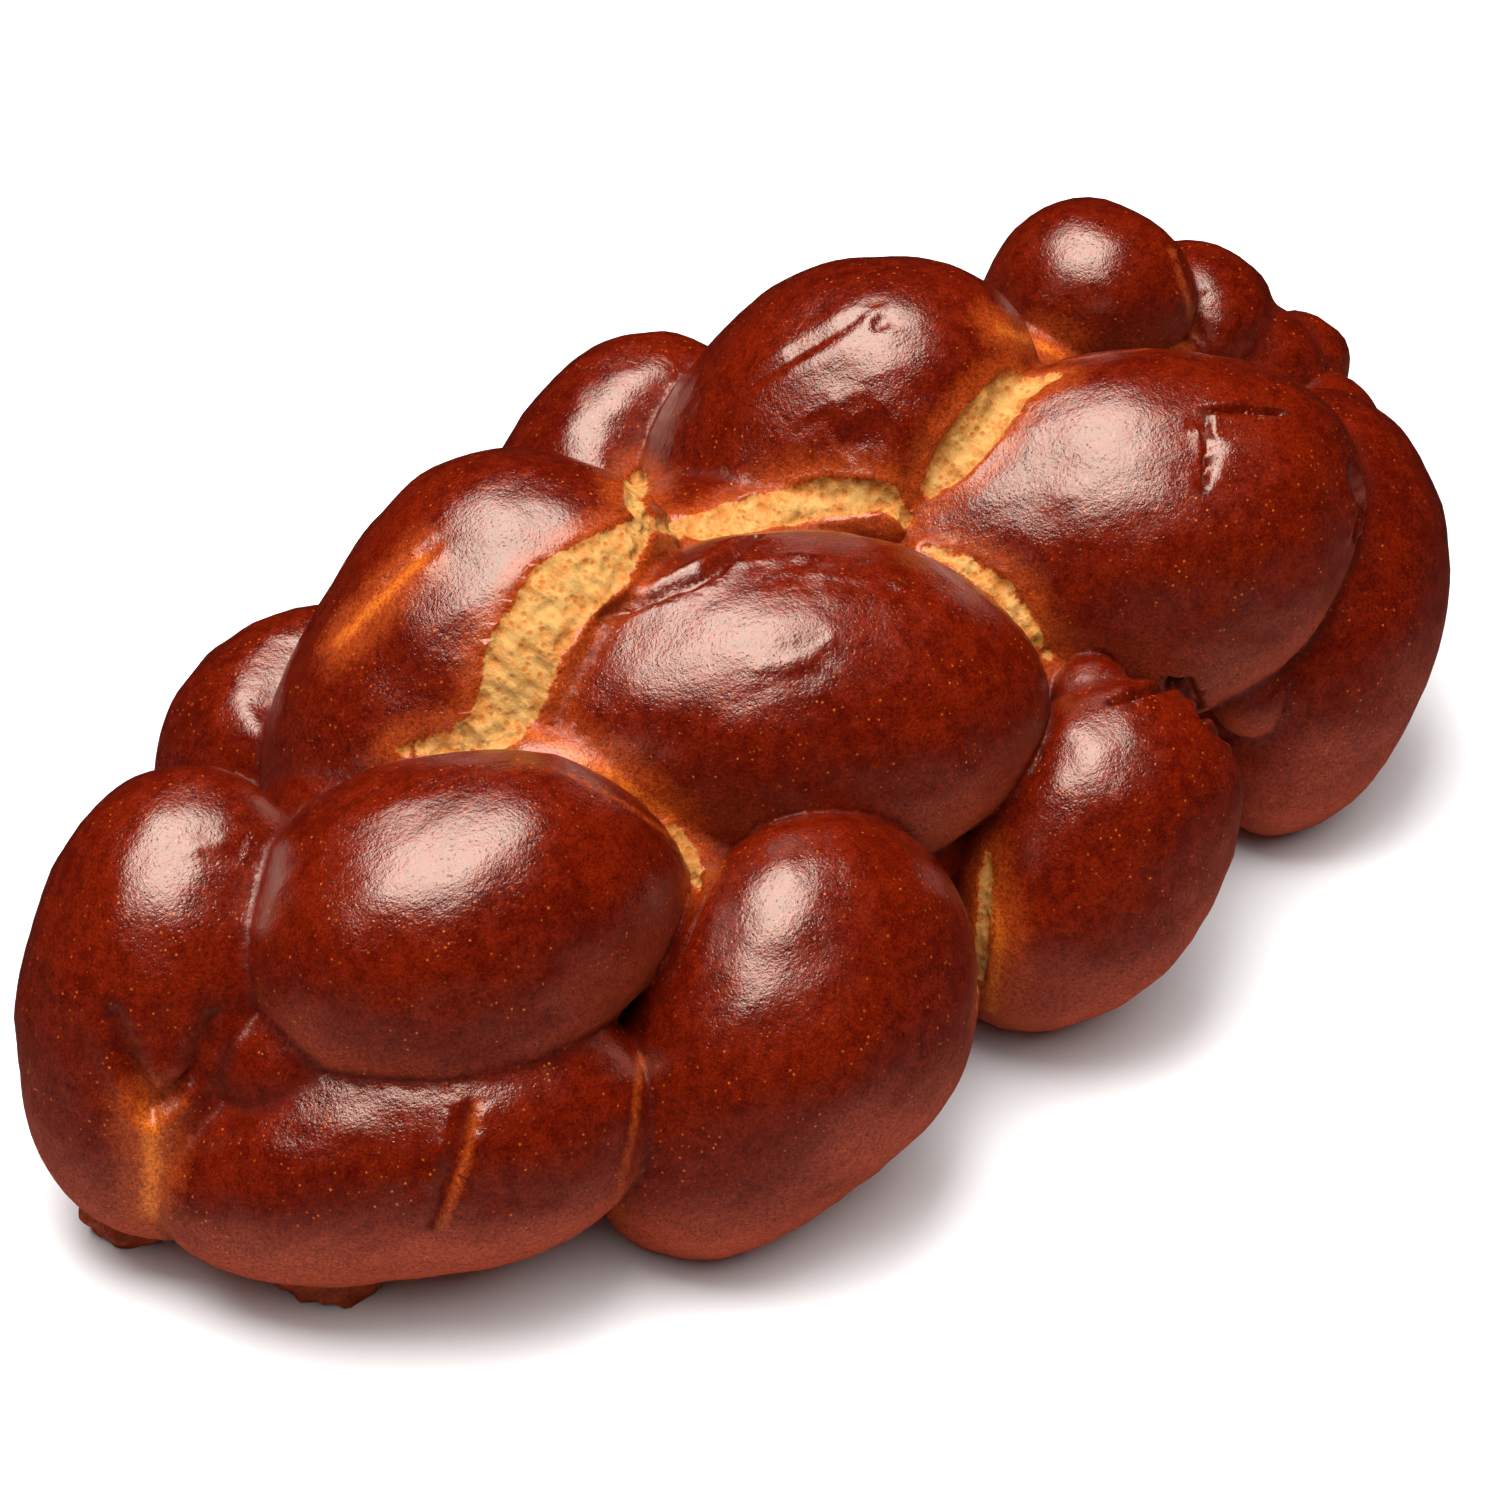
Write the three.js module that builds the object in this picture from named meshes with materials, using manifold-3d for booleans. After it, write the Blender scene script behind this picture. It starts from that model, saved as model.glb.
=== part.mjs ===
// A braided loaf of egg bread, about 300 mm long, baked on a tray.
// It is one solid: stretches of dough strand that bulge between the crossings of the braid,
// grown together in the oven, with torn crumb showing in the seams of the crown.
// Millimetres. X runs along the loaf, the right end is the narrow one; Y goes to the back, Z up.
// The origin is on the tray, under the middle of the loaf.

import * as THREE from "three";
import { mergeVertices } from "three/addons/utils/BufferGeometryUtils.js";
import Module from "manifold-3d";

const wasm = await Module();
wasm.setup();

// Crust of the whole loaf
const CRUST_COLOUR = 0x6e1c0a;
const CRUST_ROUGHNESS = 0.3;

// Each bulge of a strand: where its middle line starts, crests and ends, its half width and
// half thickness there, and how blunt its two ends are (0.5 is round, less is squarer).
const ROUND = [0.5, 0.5];
const BULGES = [
  // the near end, from the tray up and over
  { start: [-98, 16, 56], crest: [-120, 8, 43], end: [-131, -4, 6], half: [28, 28.5], blunt: [0.4, 0.36] },
  { start: [-87, 44, 44], crest: [-97, 36, 26], end: [-118, 20, 6], half: [22, 22], blunt: ROUND },
  { start: [-112, -17, 39], crest: [-86, -27, 60], end: [-46, -33, 48], half: [29, 27.5], blunt: [0.5, 0.66] },
  { start: [-129, -16, 35], crest: [-118, -23, 45], end: [-105, -27, 47], half: [12, 11], blunt: ROUND },
  // the front, strands that come down to the tray
  { start: [-137, -6, 20], crest: [-106, -38, 31], end: [-70, -49, 33], half: [24, 23], blunt: [0.5, 0.42] },
  { start: [-20, -40, 46], crest: [-45, -61, 34], end: [-75, -49, 3], half: [28.5, 26], blunt: [0.34, 0.5] },
  { start: [39, -41, 45], crest: [26, -56, 34], end: [8, -45, 5], half: [24, 24], blunt: [0.34, 0.45] },
  { start: [115, -8, 61], crest: [98, -34, 35], end: [73, -44, 7], half: [26, 25], blunt: ROUND },
  // the crown
  { start: [-57, 9, 51], crest: [-13, -18, 62], end: [25, -41, 50], half: [30.5, 29], blunt: [0.6, 0.5] },
  { start: [-11, 14, 73], crest: [-43, 23, 62], end: [-73, 30, 23], half: [33, 30], blunt: [0.5, 0.42] },
  { start: [67, 10, 68], crest: [42, 25, 69], end: [12, 42, 39], half: [30.5, 31], blunt: [0.46, 0.38] },
  { start: [27, 6, 54], crest: [67, -16, 61], end: [96, -33, 48], half: [33, 32], blunt: [0.55, 0.38] },
  // the back, down to the tray
  { start: [-48, 44, 44], crest: [-59, 52, 28], end: [-86, 40, 6], half: [30, 28], blunt: ROUND },
  { start: [-14, 44, 52], crest: [-22, 58, 34], end: [-51, 46, 6], half: [26, 26], blunt: ROUND },
  { start: [28, 49, 63], crest: [16, 59, 44], end: [-13, 48, 6], half: [27.5, 27.5], blunt: ROUND },
  { start: [80, 40, 52], crest: [68, 52, 32], end: [39, 45, 6], half: [29, 27], blunt: ROUND },
  { start: [112, 36, 50], crest: [113, 36, 27], end: [87, 30, 6], half: [25, 23], blunt: ROUND },
  // the shoulder of the back, between the crown and the row on the tray
  { start: [15, 31, 45], crest: [-5, 40, 45], end: [-25, 35, 37], half: [24, 23], blunt: ROUND },
  { start: [104, 18, 43], crest: [82, 32, 50], end: [60, 34, 44], half: [23, 22], blunt: ROUND },
  // the far end, where the strands are pinched together
  { start: [109, 23, 55], crest: [102, 32, 66], end: [91, 46, 45], half: [18, 19.5], blunt: ROUND },
  { start: [113, 31, 54], crest: [125, 26, 53], end: [133, 15, 45], half: [18, 17], blunt: ROUND },
  { start: [120, 26, 50], crest: [132, 17, 48], end: [141, 9, 40], half: [14, 13.5], blunt: ROUND },
  { start: [134, 21, 50], crest: [141.5, 15, 46], end: [144, 8, 38], half: [11, 10.5], blunt: ROUND },
  { start: [141, 12, 38], crest: [136, 3, 40], end: [124, -8, 42], half: [12, 12], blunt: ROUND },
  { start: [117, 16, 44], crest: [117, 0, 28], end: [107, -16, 8], half: [24, 22], blunt: ROUND },
  // small folds of dough in the seams of the crown
  { start: [-69, 3, 61], crest: [-55, -10, 64], end: [-39, -26, 60], half: [8, 8], blunt: ROUND },
  { start: [40, -38, 51], crest: [36, -44, 54], end: [31, -48, 49], half: [7, 7], blunt: ROUND },
  { start: [70, -44, 46], crest: [73, -46, 38], end: [74, -45, 30], half: [7, 6.5], blunt: ROUND },
];

// What the bulges grow from, which only shows deep between them: the heart of the crown,
// the shoulder behind it, the root of the far end, and the foot that spread on the tray
const HEARTS = [
  { start: [-123, -3, 30], crest: [-11, -3, 34], end: [111, -3, 30], half: [44, 36], blunt: ROUND },
  { start: [-95, 14, 34], crest: [-6, 22, 42], end: [107, 16, 34], half: [37, 35], blunt: ROUND },
  { start: [86, 22, 38], crest: [106, 24, 42], end: [122, 15, 38], half: [25, 21], blunt: ROUND },
  { start: [-122, 2, 10], crest: [-5, 4, 12], end: [112, 6, 10], half: [54, 17], blunt: [0.36, 0.36] },
];

// Torn crumb: the line that each tear follows along its seam, and its half width and depth
const TEARS = [
  { along: [[-15, 13, 80], [-40, 4, 80], [-64, 3, 64]], half: [9.5, 4.5] },
  { along: [[-17, 26, 70], [9, 15, 72], [28, -2, 72]], half: [6, 5] },
  { along: [[33, -2, 75], [47, 0, 81], [64, 2, 82]], half: [7, 4.5] },
  { along: [[28, -6, 68], [32, -18, 67], [36, -30, 58]], half: [4.5, 4] },
];

// Thin ragged flaps of dough that spread on the tray
const FLAPS = [
  { start: [-139, 12, 7], crest: [-140.5, 2, 7], end: [-132, -5, 6], half: [7, 3.2], blunt: ROUND },
  { start: [-139, 25, 6], crest: [-142, 18, 7], end: [-140, 11, 6], half: [6.5, 2.6], blunt: ROUND },
  { start: [-124, -24, 6], crest: [-120.5, -32, 6], end: [-112, -36.5, 5], half: [6, 3.2], blunt: ROUND },
  { start: [-52, -65, 1.5], crest: [-45, -68, 2], end: [-37, -67.5, 1.5], half: [3.5, 3], blunt: ROUND },
  { start: [-13, -58, 5], crest: [-20, -63.5, 6], end: [-27, -67, 4], half: [5, 2.8], blunt: ROUND },
];

// Torn crumb is ragged: its surface swings in and out by this much
const RAGGED_DEPTH = 0.8;
const RAGGED_LENGTH = 7;

// Facets round a bulge and along it
const BULGE_FACETS = { round: 18, along: 12 };
const HEART_FACETS = { round: 16, along: 12 };
const SMALL_FACETS = { round: 10, along: 6 };
const SMALL_HALF = 14;

const MERGE_WITHIN = 1e-3;

const point = (xyz) => new THREE.Vector3(...xyz);

// The middle line through start, crest and end
function middleLine({ start, crest, end }) {
  const pull = point(crest).multiplyScalar(2).addScaledVector(point(start).add(point(end)), -0.5);
  return new THREE.QuadraticBezierCurve3(point(start), pull, point(end));
}

// A unit sphere bent along the middle line, with an oval section and blunt or round ends.
// ragged gives the distance that a point of the surface moves outwards.
function bulge(shape, facets, ragged = () => 0) {
  const { half, blunt } = shape;
  const line = middleLine(shape);
  const arch = point(shape.crest).addScaledVector(point(shape.start).add(point(shape.end)), -0.5);
  const geometry = new THREE.SphereGeometry(1, facets.round, facets.along);
  geometry.deleteAttribute("normal");
  geometry.deleteAttribute("uv");
  const position = geometry.getAttribute("position");
  for (let i = 0; i < position.count; i++) {
    const t = THREE.MathUtils.clamp((1 - position.getY(i)) / 2, 0, 1);
    const around = Math.atan2(position.getZ(i), position.getX(i));
    const tangent = line.getTangent(t);
    const out = arch.clone().addScaledVector(tangent, -arch.dot(tangent)).normalize();
    const side = out.clone().cross(tangent);
    const swell = (2 * t) ** blunt[0] * (2 - 2 * t) ** blunt[1];
    const spot = line
      .getPoint(t)
      .addScaledVector(side, swell * half[0] * Math.cos(around))
      .addScaledVector(out, swell * half[1] * Math.sin(around));
    const outward = side.multiplyScalar(Math.cos(around)).addScaledVector(out, Math.sin(around));
    spot.addScaledVector(outward, swell * ragged(spot));
    position.setXYZ(i, spot.x, spot.y, spot.z);
  }
  return geometry;
}

// Uneven waves of the torn crumb, crossing each other
function crumbWave({ x, y, z }) {
  const turn = (2 * Math.PI) / RAGGED_LENGTH;
  return RAGGED_DEPTH * Math.sin(turn * (x + 0.4 * y)) * Math.sin(turn * 0.8 * (y + z));
}

function tear({ along: [start, crest, end], half }) {
  return bulge({ start, crest, end, half, blunt: [0.3, 0.3] }, BULGE_FACETS, crumbWave);
}

function solid(geometry) {
  const merged = mergeVertices(geometry, MERGE_WITHIN);
  return new wasm.Manifold(
    new wasm.Mesh({
      numProp: 3,
      vertProperties: merged.getAttribute("position").array,
      triVerts: new Uint32Array(merged.index.array),
    }),
  );
}

// What lies under the tray's surface is cut away: the loaf baked flat there
function belowTray() {
  const deep = 60;
  const across = 500;
  return solid(plainBox(across, across, deep).translate(0, 0, -deep / 2));
}

function plainBox(x, y, z) {
  const box = new THREE.BoxGeometry(x, y, z);
  box.deleteAttribute("normal");
  box.deleteAttribute("uv");
  return box;
}

// Hollows that the bulges close in are filled: the largest shell is the outside
function outerShell(joined) {
  return joined.decompose().reduce((best, shell) => (shell.volume() > best.volume() ? shell : best));
}

function loafGeometry() {
  const facetsOf = ({ half }) => (half[0] < SMALL_HALF ? SMALL_FACETS : BULGE_FACETS);
  const pieces = [
    ...HEARTS.map((shape) => bulge(shape, HEART_FACETS)),
    ...BULGES.map((shape) => bulge(shape, facetsOf(shape))),
    ...TEARS.map(tear),
    ...FLAPS.map((shape) => bulge(shape, SMALL_FACETS)),
  ];
  const whole = pieces.map(solid).reduce((joined, next) => joined.add(next));
  const mesh = outerShell(whole.subtract(belowTray())).getMesh();
  const geometry = new THREE.BufferGeometry();
  geometry.setAttribute("position", new THREE.BufferAttribute(mesh.vertProperties, 3));
  geometry.setIndex(new THREE.BufferAttribute(mesh.triVerts, 1));
  geometry.computeVertexNormals();
  return geometry;
}

function braidedLoaf() {
  const crust = new THREE.MeshStandardMaterial({
    color: CRUST_COLOUR,
    roughness: CRUST_ROUGHNESS,
    metalness: 0,
  });
  const loaf = new THREE.Mesh(loafGeometry(), crust);
  loaf.name = "loaf";
  const group = new THREE.Group();
  group.add(loaf);
  return group;
}

export default braidedLoaf();
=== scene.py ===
import math
from collections import namedtuple

import bmesh
import bpy
import numpy as np
from mathutils import Matrix, Vector
from mathutils.bvhtree import BVHTree
from mathutils.kdtree import KDTree


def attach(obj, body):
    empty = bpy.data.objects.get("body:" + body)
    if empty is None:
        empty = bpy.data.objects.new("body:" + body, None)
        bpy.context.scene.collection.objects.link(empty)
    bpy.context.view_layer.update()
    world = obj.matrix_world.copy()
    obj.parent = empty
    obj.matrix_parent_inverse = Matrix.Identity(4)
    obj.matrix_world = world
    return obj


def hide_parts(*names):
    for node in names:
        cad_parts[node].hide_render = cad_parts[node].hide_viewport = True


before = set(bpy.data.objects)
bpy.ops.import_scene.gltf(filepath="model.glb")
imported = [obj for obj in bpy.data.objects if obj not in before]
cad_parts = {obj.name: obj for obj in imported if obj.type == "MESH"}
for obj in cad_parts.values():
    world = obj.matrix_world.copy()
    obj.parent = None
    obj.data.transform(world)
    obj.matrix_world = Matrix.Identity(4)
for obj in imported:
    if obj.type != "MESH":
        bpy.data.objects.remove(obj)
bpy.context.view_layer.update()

bl_info = {
    "name": "Braided Loaf",
    "version": (1, 0, 0),
    "blender": (4, 5, 0),
    "location": "View3D > Sidebar > Loaf",
    "description": "Bakes a braided egg loaf around its packed solid, and sets the studio for it",
    "category": "Object",
}

# Sizes in this file are millimetres, and become metres when a mesh is finished
MM = 0.001

# Dough lower than this lies on the tray, so neither softening nor relief moves it
ON_TRAY = 0.3

# The distance given to points that no line comes near
FAR = 99.0

# The camera of the photograph: a long lens, looking down at the loaf from its near front corner.
# PICTURE is the side of the square picture in pixels, and SCALE the pixels per millimetre at TARGET.
PICTURE = 1500
SCALE = 5.75
CAMERA_AWAY = 1000.0
CAMERA_AZIMUTH = math.radians(-39.0)
CAMERA_ELEVATION = math.radians(40.0)
TARGET = np.array([-11.0, -8.0, 45.0])
SENSOR = 36.0
BACKWARD = np.array([
    math.sin(CAMERA_AZIMUTH) * math.cos(CAMERA_ELEVATION),
    -math.cos(CAMERA_AZIMUTH) * math.cos(CAMERA_ELEVATION),
    math.sin(CAMERA_ELEVATION),
])
RIGHTWARD = np.array([math.cos(CAMERA_AZIMUTH), math.sin(CAMERA_AZIMUTH), 0.0])
UPWARD = np.cross(BACKWARD, RIGHTWARD)
EYE = TARGET + BACKWARD * CAMERA_AWAY

# Each bulge of a dough strand: where its middle line starts, crests and ends, its half width and
# half thickness there, and how blunt its two ends are (0.5 is round, less is squarer)
Bulge = namedtuple("Bulge", "start crest end half blunt", defaults=((0.5, 0.5),))

BULGES = {
    # the near end, from the tray up and over
    "near_end": Bulge((-98, 16, 56), (-120, 8, 43), (-131, -4, 6), (28, 28.5), (0.4, 0.36)),
    "near_end_back": Bulge((-87, 44, 44), (-97, 36, 26), (-118, 20, 6), (22, 22)),
    "near_crown": Bulge((-112, -17, 39), (-86, -27, 60), (-46, -33, 48), (29, 27.5), (0.5, 0.66)),
    "near_tuck": Bulge((-129, -16, 35), (-118, -23, 45), (-105, -27, 47), (12, 11)),
    # the front, strands that come down to the tray
    "near_front": Bulge((-137, -6, 20), (-106, -38, 31), (-70, -49, 33), (24, 23), (0.5, 0.42)),
    "middle_front": Bulge((-20, -40, 46), (-45, -61, 34), (-75, -49, 3), (28.5, 26), (0.34, 0.5)),
    "far_front": Bulge((39, -41, 45), (26, -56, 34), (8, -45, 5), (24, 24), (0.34, 0.45)),
    "far_end_front": Bulge((115, -8, 61), (98, -34, 35), (73, -44, 7), (26, 25)),
    # the crown
    "middle_crown": Bulge((-57, 9, 51), (-13, -18, 62), (25, -41, 50), (30.5, 29), (0.6, 0.5)),
    "near_back_crown": Bulge((-11, 14, 73), (-43, 23, 62), (-73, 30, 23), (33, 30), (0.5, 0.42)),
    "far_back_crown": Bulge((67, 10, 68), (42, 25, 69), (12, 42, 39), (30.5, 31), (0.46, 0.38)),
    "far_crown": Bulge((27, 6, 54), (67, -16, 61), (96, -33, 48), (33, 32), (0.55, 0.38)),
    # the back, down to the tray
    "near_back": Bulge((-48, 44, 44), (-59, 52, 28), (-86, 40, 6), (30, 28)),
    "middle_back": Bulge((-14, 44, 52), (-22, 58, 34), (-51, 46, 6), (26, 26)),
    "far_back": Bulge((28, 49, 63), (16, 59, 44), (-13, 48, 6), (27.5, 27.5)),
    "farther_back": Bulge((80, 40, 52), (68, 52, 32), (39, 45, 6), (29, 27)),
    "far_end_back": Bulge((112, 36, 50), (113, 36, 27), (87, 30, 6), (25, 23)),
    # the shoulder of the back, between the crown and the row on the tray
    "shoulder": Bulge((15, 31, 45), (-5, 40, 45), (-25, 35, 37), (24, 23)),
    "far_shoulder": Bulge((104, 18, 43), (82, 32, 50), (60, 34, 44), (23, 22)),
    # the far end, where the strands are pinched together
    "far_end_top": Bulge((109, 23, 55), (102, 32, 66), (91, 46, 45), (18, 19.5)),
    "pinch": Bulge((113, 31, 54), (125, 26, 53), (133, 15, 45), (18, 17)),
    "pinch_neck": Bulge((120, 26, 50), (132, 17, 48), (141, 9, 40), (14, 13.5)),
    "pinch_tip": Bulge((134, 21, 50), (141.5, 15, 46), (144, 8, 38), (11, 10.5)),
    "far_join": Bulge((141, 12, 38), (136, 3, 40), (124, -8, 42), (12, 12)),
    "far_end": Bulge((117, 16, 44), (117, 0, 28), (107, -16, 8), (24, 22)),
    # small folds of dough in the seams of the crown
    "rolled_fold": Bulge((-69, 3, 61), (-55, -10, 64), (-39, -26, 60), (8, 8)),
    "bud": Bulge((40, -38, 51), (36, -44, 54), (31, -48, 49), (7, 7)),
    "far_tuck": Bulge((70, -44, 46), (73, -46, 38), (74, -45, 30), (7, 6.5)),
}

# What the bulges grow from, which only shows deep between them
HEARTS = {
    "heart": Bulge((-123, -3, 30), (-11, -3, 34), (111, -3, 30), (44, 36)),
    "shoulder_heart": Bulge((-95, 14, 34), (-6, 22, 42), (107, 16, 34), (37, 35)),
    "far_root": Bulge((86, 22, 38), (106, 24, 42), (122, 15, 38), (25, 21)),
    "foot": Bulge((-122, 2, 10), (-5, 4, 12), (112, 6, 10), (54, 17), (0.36, 0.36)),
}

# Torn crumb along the seams of the crown
TEAR_ENDS = (0.3, 0.3)
TEARS = {
    "near_tear": Bulge((-15, 13, 80), (-40, 4, 80), (-64, 3, 64), (9.5, 4.5), TEAR_ENDS),
    "middle_tear": Bulge((-17, 26, 70), (9, 15, 72), (28, -2, 72), (6, 5), TEAR_ENDS),
    "far_tear": Bulge((33, -2, 75), (47, 0, 81), (64, 2, 82), (7, 4.5), TEAR_ENDS),
    "front_tear": Bulge((28, -6, 68), (32, -18, 67), (36, -30, 58), (4.5, 4), TEAR_ENDS),
}

# Thin ragged flaps of dough that spread on the tray
FLAPS = {
    "near_flap": Bulge((-139, 12, 7), (-140.5, 2, 7), (-132, -5, 6), (7, 3.2)),
    "side_flap": Bulge((-139, 25, 6), (-142, 18, 7), (-140, 11, 6), (6.5, 2.6)),
    "front_flap": Bulge((-124, -24, 6), (-120.5, -32, 6), (-112, -36.5, 5), (6, 3.2)),
    "middle_flap": Bulge((-52, -65, 1.5), (-45, -68, 2), (-37, -67.5, 1.5), (3.5, 3)),
    "upright_flap": Bulge((-13, -58, 5), (-20, -63.5, 6), (-27, -67, 4), (5, 2.8)),
}

# A mark in the crust: how deep and wide its groove is, how high its lips stand, and how much
# painted shade darkens it inside, from 0 to 1
Groove = namedtuple("Groove", "depth width lip shade", defaults=(0.0,))
GROOVES = {
    "crack": Groove(1.6, 0.65, 0.25, 1.0),
    "rip": Groove(2.2, 1.0, 0.5, 1.0),
    "fold": Groove(2.3, 1.6, 0.6, 0.6),
    "crease": Groove(1.3, 1.3, 0.6, 0.3),
    "wrinkle": Groove(0.5, 1.2, 0.25),
    "dent": Groove(1.0, 4.0, 0.0),
    "ridge": Groove(-0.25, 1.4, -0.1),
}

# Where the marks run, as pixels of the photograph; each falls on the crust that shows there
MARKS = (
    ("crack", ((1205, 410), (1245, 409), (1285, 413))),
    ("crack", ((1207, 413), (1208, 450), (1205, 490))),
    ("rip", ((1108, 703), (1150, 690), (1185, 682), (1205, 722), (1226, 741))),
    ("fold", ((112, 1006), (130, 1060), (151, 1111), (175, 1090), (191, 1073), (213, 1010))),
    ("ridge", ((182, 853), (212, 845), (239, 839))),
    ("crease", ((469, 1102), (455, 1160), (431, 1226))),
    ("fold", ((757, 535), (733, 551), (701, 575), (646, 598), (599, 618))),
    ("ridge", ((757, 561), (790, 556), (820, 557))),
    ("ridge", ((796, 577), (826, 573), (856, 575))),
    ("ridge", ((879, 575), (894, 581), (907, 590))),
    ("ridge", ((749, 670), (808, 658), (836, 634))),
    ("wrinkle", ((750, 385), (800, 352), (870, 310))),
    ("wrinkle", ((872, 330), (882, 322), (890, 318))),
    ("dent", ((840, 450), (890, 420))),
    ("wrinkle", ((375, 595), (405, 566), (440, 545))),
    ("fold", ((1350, 470), (1362, 505), (1355, 540))),
)

# Where the crust tore and shows its crumb: half the tear's width in millimetres, and its line in
# pixels of the photograph
TORN = (
    (6.0, ((648, 520), (610, 560), (560, 590), (525, 650), (510, 700), (490, 735), (440, 750))),
    (3.6, ((655, 525), (700, 528), (760, 512), (830, 498), (885, 497), (905, 520))),
    (4.5, ((1052, 378), (1010, 395), (965, 445), (932, 488))),
    (2.2, ((925, 548), (960, 560), (1000, 590), (1035, 635), (1047, 655))),
    (1.6, ((672, 830), (690, 860), (700, 890))),
    (1.5, ((988, 855), (985, 900), (980, 960), (976, 1005))),
    (2.4, ((638, 475), (634, 500), (645, 525))),
    (1.6, ((400, 752), (440, 742), (500, 745))),
)

# Where the crust stayed thin and orange though it didn't tear, with half its width
THIN = (
    (3.6, ((150, 1110), (152, 1160), (150, 1215))),
    (0.6, ((560, 770), (620, 800), (690, 850))),
    (2.5, ((1000, 330), (1030, 340), (1060, 355))),
    (3.0, ((985, 880), (1000, 940), (990, 1010))),
    (3.0, ((340, 640), (380, 600), (420, 560))),
    (2.0, ((530, 730), (600, 770), (670, 815))),
    (0.9, ((1055, 362), (1120, 352), (1190, 345))),
    (0.9, ((1172, 250), (1185, 290), (1195, 335))),
    (0.9, ((640, 1060), (635, 1120), (615, 1215))),
    (0.9, ((375, 595), (405, 566), (440, 545))),
    (0.4, ((478, 1104), (465, 1162), (441, 1228))),
)


class LoafSizes(bpy.types.PropertyGroup):
    """Sizes of the crust's mesh and relief, in millimetres."""

    crust_step: bpy.props.FloatProperty(
        name="Crust step", description="Distance between points of the crust (mm)", default=1.75, min=0.5
    )
    crumb_step: bpy.props.FloatProperty(
        name="Crumb step",
        description="Distance between points of the torn crumb (mm)",
        default=0.8, min=0.3,
    )
    uneven: bpy.props.FloatProperty(
        name="Uneven", description="How far the bulges swing from their plain form (mm)", default=1.5, min=0
    )
    seam_reach: bpy.props.FloatProperty(
        name="Seam reach",
        description="How far beside a seam the dough has flowed together (mm)",
        default=1.8, min=0,
    )
    lumps: bpy.props.FloatProperty(
        name="Lumps", description="Height of the crust's soft lumps (mm)", default=0.13, min=0
    )
    fibres: bpy.props.FloatProperty(
        name="Fibres", description="Height of the torn crumb's fibres (mm)", default=0.27, min=0
    )


class LoafColours(bpy.types.PropertyGroup):
    """Colours and finish of the crust and crumb."""

    crust: bpy.props.FloatVectorProperty(
        name="Crust", description="Mahogany of the crown", subtype="COLOR", default=(0.116, 0.0058, 0.0003)
    )
    # The dark crust is also the painted shade in the creases between bulges
    crust_dark_and_crease_shade: bpy.props.FloatVectorProperty(
        name="Dark crust", description="Deepest bake", subtype="COLOR", default=(0.066, 0.0024, 0.0002)
    )
    # Partly paler crust and partly painted floor bounce and reflection on faces that turn down
    crust_side_and_floor_light: bpy.props.FloatVectorProperty(
        name="Side crust",
        description="Paler crust low on the sides",
        subtype="COLOR", default=(0.310, 0.0380, 0.0120),
    )
    crust_thin: bpy.props.FloatVectorProperty(
        name="Thin crust",
        description="Orange crust beside a tear",
        subtype="COLOR", default=(0.290, 0.0380, 0.0040),
    )
    crust_core: bpy.props.FloatVectorProperty(
        name="Thinnest crust", description="Bright orange where crust only just held", subtype="COLOR",
        default=(0.560, 0.1200, 0.0100)
    )
    crumb: bpy.props.FloatVectorProperty(
        name="Crumb",
        description="Pale gold of the torn crumb",
        subtype="COLOR", default=(0.440, 0.2400, 0.0660),
    )
    # Partly the crumb's own orange and partly painted shade in its pits
    crumb_orange_and_pit_shade: bpy.props.FloatVectorProperty(
        name="Deep crumb",
        description="Orange in the crumb's hollows",
        subtype="COLOR", default=(0.380, 0.1200, 0.0160),
    )
    gloss: bpy.props.FloatProperty(
        name="Gloss",
        description="Roughness of the glazed crown",
        default=0.2, min=0, max=1, subtype="FACTOR",
    )


class StudioSettings(bpy.types.PropertyGroup):
    """Light and floor of the studio."""

    softbox_power: bpy.props.FloatProperty(
        name="Softbox", description="Power of the softbox overhead", default=23.0, min=0, unit="POWER"
    )
    softbox_width: bpy.props.FloatProperty(
        name="Softbox width", description="Width of the softbox", default=1.0, min=0.1, unit="LENGTH"
    )
    fill_power: bpy.props.FloatProperty(
        name="Fill",
        description="Power of the wide light that only lifts the shadows",
        default=60.0, min=0, unit="POWER",
    )
    sky: bpy.props.FloatProperty(
        name="Surround", description="Brightness of the white surround", default=0.006, min=0
    )


# Shader maths


# The egg glaze warms what it mirrors
GLAZE_TINT = (1.0, 0.81, 0.67, 1.0)


class Maths:
    """A shader socket that can be used in Python arithmetic."""

    def __init__(self, shader, socket):
        self.shader = shader
        self.socket = socket

    def with_(self, operation, other, swap=False):
        values = (other, self) if swap else (self, other)
        return self.shader.node("ShaderNodeMath", {"operation": operation}, values)

    def __add__(self, other):
        return self.with_("ADD", other)

    __radd__ = __add__

    def __mul__(self, other):
        return self.with_("MULTIPLY", other)

    __rmul__ = __mul__

    def __sub__(self, other):
        return self.with_("SUBTRACT", other)

    def __rsub__(self, other):
        return self.with_("SUBTRACT", other, swap=True)


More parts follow.
